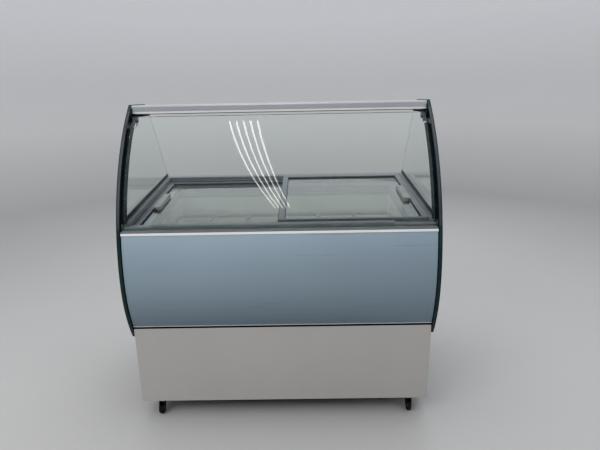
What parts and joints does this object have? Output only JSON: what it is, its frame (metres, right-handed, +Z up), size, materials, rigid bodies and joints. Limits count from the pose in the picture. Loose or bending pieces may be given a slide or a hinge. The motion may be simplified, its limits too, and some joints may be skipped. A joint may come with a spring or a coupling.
{
  "type": "ice cream dipping cabinet",
  "caption": "Floor-standing ice cream dipping cabinet with curved glass canopy, two sliding glass lids over an insulated well with a tub rack, on swivel casters.",
  "frame": {"origin": "centre of the footprint at floor level, under the middle of the bounding box", "axes": "+X to the customer's right, +Y to the operator's side, +Z up"},
  "size_m": [1.28, 0.745, 1.345],
  "materials": {
    "cabinet_shell": "gloss white paint",
    "base_pan": "galvanised grey",
    "rear_panel": "satin white paint",
    "rear_grille": "satin white paint",
    "foam_insulation": "foamed in place",
    "well_liner": "moulded white",
    "breaker_strip": "ribbed moulding",
    "deck_front_rail": "moulded grey",
    "deck_rear_rail": "moulded grey",
    "deck_side_rail_left": "moulded grey",
    "deck_side_rail_right": "moulded grey",
    "lid_track_front": "extruded grey",
    "lid_track_rear": "extruded grey",
    "lid_left_frame": "extruded blue-grey",
    "lid_left_glass": "clear",
    "lid_left_handle": "moulded grey",
    "lid_left_glides": "nylon",
    "lid_right_frame": "extruded blue-grey",
    "lid_right_glass": "clear",
    "lid_right_handle": "moulded grey",
    "lid_right_glides": "nylon",
    "end_frame_left": "moulded graphite",
    "end_frame_right": "moulded graphite",
    "side_glass_left": "clear, tempered",
    "side_glass_right": "clear, tempered",
    "side_channel_left": "glazing gasket",
    "side_channel_right": "glazing gasket",
    "top_bar": "satin anodised",
    "canopy_lamp": "tube lamp, off",
    "lamp_diffuser": "frosted",
    "front_glass": "clear, curved, tempered",
    "glass_hinge_hubs": "black moulding",
    "glass_hinge_pins": "turned",
    "glass_side_seals": "black extrusion",
    "front_panel": "satin silver blue",
    "panel_top_trim": "bright anodised",
    "panel_bottom_trim": "satin anodised",
    "tub_rack": "grey coated",
    "rack_brackets": "folded strip",
    "compressor": "black enamel",
    "condenser_coil": "fins on tube",
    "fan_shroud": "pressed steel",
    "fan_blades": "pressed",
    "refrigerant_pipes": "copper tube",
    "evaporator_coil": "copper tube",
    "control_plate": "black moulding",
    "thermostat_knob": "black, ribbed",
    "rocker_switch": "green translucent",
    "cable_gland": "nylon",
    "drain_plug": "white rubber",
    "fixing_screws": "plated",
    "caster_plates": "zinc plated",
    "caster_fork_front_left": "zinc plated",
    "caster_wheel_front_left": "black, moulded",
    "caster_fork_front_right": "zinc plated",
    "caster_wheel_front_right": "black, moulded",
    "caster_fork_rear_left": "zinc plated",
    "caster_wheel_rear_left": "black, moulded",
    "caster_fork_rear_right": "zinc plated",
    "caster_wheel_rear_right": "black, moulded"
  },
  "bodies": {
    "cabinet": {"cabinet_shell": "cabinet_shell", "base_pan": "base_pan", "rear_panel": "rear_panel", "rear_grille": "rear_grille", "foam_insulation": "foam_insulation", "well_liner": "well_liner", "breaker_strip": "breaker_strip", "deck_front_rail": "deck_front_rail", "deck_rear_rail": "deck_rear_rail", "deck_side_rail_left": "deck_side_rail_left", "deck_side_rail_right": "deck_side_rail_right", "lid_track_front": "lid_track_front", "lid_track_rear": "lid_track_rear", "end_frame_left": "end_frame_left", "end_frame_right": "end_frame_right", "side_glass_left": "side_glass_left", "side_glass_right": "side_glass_right", "side_channel_left": "side_channel_left", "side_channel_right": "side_channel_right", "top_bar": "top_bar", "canopy_lamp": "canopy_lamp", "lamp_diffuser": "lamp_diffuser", "glass_hinge_pins": "glass_hinge_pins", "glass_side_seals": "glass_side_seals", "front_panel": "front_panel", "panel_top_trim": "panel_top_trim", "panel_bottom_trim": "panel_bottom_trim", "tub_rack": "tub_rack", "rack_brackets": "rack_brackets", "compressor": "compressor", "condenser_coil": "condenser_coil", "fan_shroud": "fan_shroud", "refrigerant_pipes": "refrigerant_pipes", "evaporator_coil": "evaporator_coil", "control_plate": "control_plate", "cable_gland": "cable_gland", "fixing_screws": "fixing_screws", "caster_plates": "caster_plates"},
    "lid_left": {"lid_left_frame": "lid_left_frame", "lid_left_glass": "lid_left_glass", "lid_left_handle": "lid_left_handle", "lid_left_glides": "lid_left_glides"},
    "lid_right": {"lid_right_frame": "lid_right_frame", "lid_right_glass": "lid_right_glass", "lid_right_handle": "lid_right_handle", "lid_right_glides": "lid_right_glides"},
    "curved_glass": {"front_glass": "front_glass", "glass_hinge_hubs": "glass_hinge_hubs"},
    "fan": {"fan_blades": "fan_blades"},
    "knob": {"thermostat_knob": "thermostat_knob"},
    "rocker": {"rocker_switch": "rocker_switch"},
    "plug": {"drain_plug": "drain_plug"},
    "swivel_front_left": {"caster_fork_front_left": "caster_fork_front_left"},
    "wheel_front_left": {"caster_wheel_front_left": "caster_wheel_front_left"},
    "swivel_front_right": {"caster_fork_front_right": "caster_fork_front_right"},
    "wheel_front_right": {"caster_wheel_front_right": "caster_wheel_front_right"},
    "swivel_rear_left": {"caster_fork_rear_left": "caster_fork_rear_left"},
    "wheel_rear_left": {"caster_wheel_rear_left": "caster_wheel_rear_left"},
    "swivel_rear_right": {"caster_fork_rear_right": "caster_fork_rear_right"},
    "wheel_rear_right": {"caster_wheel_rear_right": "caster_wheel_rear_right"}
  },
  "joints": [
    {"name": "lid_left_slide", "type": "slide", "parent": "cabinet", "child": "lid_left", "axis": [1, 0, 0], "range_m": [0, 0.588]},
    {"name": "lid_right_slide", "type": "slide", "parent": "cabinet", "child": "lid_right", "axis": [-1, 0, 0], "range_m": [0, 0.588]},
    {"name": "front_glass_hinge", "type": "hinge", "parent": "cabinet", "child": "curved_glass", "pos_m": [0, -0.07641, 1.284], "axis": [-1, 0, 0], "range_deg": [0, 75]},
    {"name": "fan_spin", "type": "hinge", "parent": "cabinet", "child": "fan", "pos_m": [-0.23, 0.215, 0.24], "axis": [0, 1, 0], "continuous": true},
    {"name": "thermostat_turn", "type": "hinge", "parent": "cabinet", "child": "knob", "pos_m": [0.466, 0.3625, 0.355], "axis": [0, 1, 0], "range_deg": [0, 300]},
    {"name": "rocker_tip", "type": "hinge", "parent": "cabinet", "child": "rocker", "pos_m": [0.394, 0.3585, 0.355], "axis": [-1, 0, 0], "range_deg": [0, 16]},
    {"name": "drain_plug_pull", "type": "slide", "parent": "cabinet", "child": "plug", "axis": [0, 0, 1], "range_m": [0, 0.03]},
    {"name": "caster_swivel_front_left", "type": "hinge", "parent": "cabinet", "child": "swivel_front_left", "pos_m": [-0.554, -0.2695, 0.072], "axis": [0, 0, 1], "continuous": true},
    {"name": "caster_roll_front_left", "type": "hinge", "parent": "swivel_front_left", "child": "wheel_front_left", "pos_m": [-0.554, -0.2915, 0.025], "axis": [1, 0, 0], "continuous": true},
    {"name": "caster_swivel_front_right", "type": "hinge", "parent": "cabinet", "child": "swivel_front_right", "pos_m": [0.554, -0.2695, 0.072], "axis": [0, 0, 1], "continuous": true},
    {"name": "caster_roll_front_right", "type": "hinge", "parent": "swivel_front_right", "child": "wheel_front_right", "pos_m": [0.554, -0.2915, 0.025], "axis": [1, 0, 0], "continuous": true},
    {"name": "caster_swivel_rear_left", "type": "hinge", "parent": "cabinet", "child": "swivel_rear_left", "pos_m": [-0.554, 0.3325, 0.072], "axis": [0, 0, 1], "continuous": true},
    {"name": "caster_roll_rear_left", "type": "hinge", "parent": "swivel_rear_left", "child": "wheel_rear_left", "pos_m": [-0.554, 0.3105, 0.025], "axis": [1, 0, 0], "continuous": true},
    {"name": "caster_swivel_rear_right", "type": "hinge", "parent": "cabinet", "child": "swivel_rear_right", "pos_m": [0.554, 0.3325, 0.072], "axis": [0, 0, 1], "continuous": true},
    {"name": "caster_roll_rear_right", "type": "hinge", "parent": "swivel_rear_right", "child": "wheel_rear_right", "pos_m": [0.554, 0.3105, 0.025], "axis": [1, 0, 0], "continuous": true}
  ]
}
